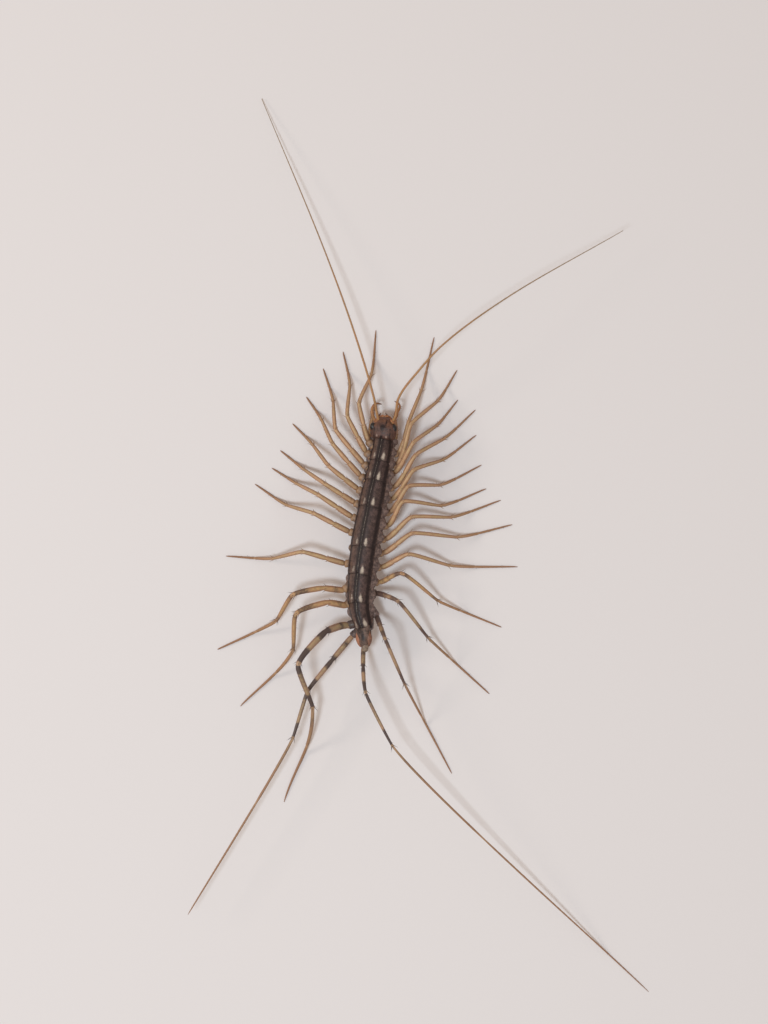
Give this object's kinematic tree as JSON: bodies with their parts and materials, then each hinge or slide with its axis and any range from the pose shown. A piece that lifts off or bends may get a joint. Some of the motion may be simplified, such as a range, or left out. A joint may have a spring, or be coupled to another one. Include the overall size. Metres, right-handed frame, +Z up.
{
  "type": "house centipede",
  "caption": "House centipede as a still life-size model on its own feet, with a plated back, long feelers, slender legs and very long last legs.",
  "frame": {"origin": "on the floor under the middle of the whole span of feelers and legs", "axes": "+Z up from the floor, +Y towards the head, +X towards the animal's right side"},
  "size_m": [0.0602, 0.1167, 0.0088],
  "materials": {
    "shell": "satin horny plates, dark grey brown with pale marks",
    "tail": "satin, reddish brown",
    "leg": "satin straw, darker towards the feet, banded on the rear legs",
    "feeler": "matte amber brown, fading to tan",
    "claw": "glossy amber with dark points",
    "eye": "glossy black, finely faceted"
  },
  "bodies": {
    "root": {"eye_left": "eye", "eye_right": "eye", "feeler_left": "feeler", "feeler_right": "feeler", "head": "shell", "leg_01_left": "leg", "leg_01_right": "leg", "leg_02_left": "leg", "leg_02_right": "leg", "leg_03_left": "leg", "leg_03_right": "leg", "leg_04_left": "leg", "leg_04_right": "leg", "leg_05_left": "leg", "leg_05_right": "leg", "leg_06_left": "leg", "leg_06_right": "leg", "leg_07_left": "leg", "leg_07_right": "leg", "leg_08_left": "leg", "leg_08_right": "leg", "leg_09_left": "leg", "leg_09_right": "leg", "leg_10_right": "leg", "leg_11_left": "leg", "leg_11_right": "leg", "leg_12_left_shin": "leg", "leg_12_left_thigh": "leg", "leg_12_right_shin": "leg", "leg_12_right_thigh": "leg", "leg_13_left_shin": "leg", "leg_13_left_thigh": "leg", "leg_13_right_shin": "leg", "leg_13_right_thigh": "leg", "leg_14_left_shin": "leg", "leg_14_left_thigh": "leg", "leg_14_right_shin": "leg", "leg_14_right_thigh": "leg", "leg_15_left_shin": "leg", "leg_15_left_thigh": "leg", "leg_15_right_shin": "leg", "leg_15_right_thigh": "leg", "palp_left": "feeler", "palp_right": "feeler", "tail": "tail", "trunk": "shell", "venom_claw_left": "claw", "venom_claw_right": "claw"}
  },
  "joints": []
}
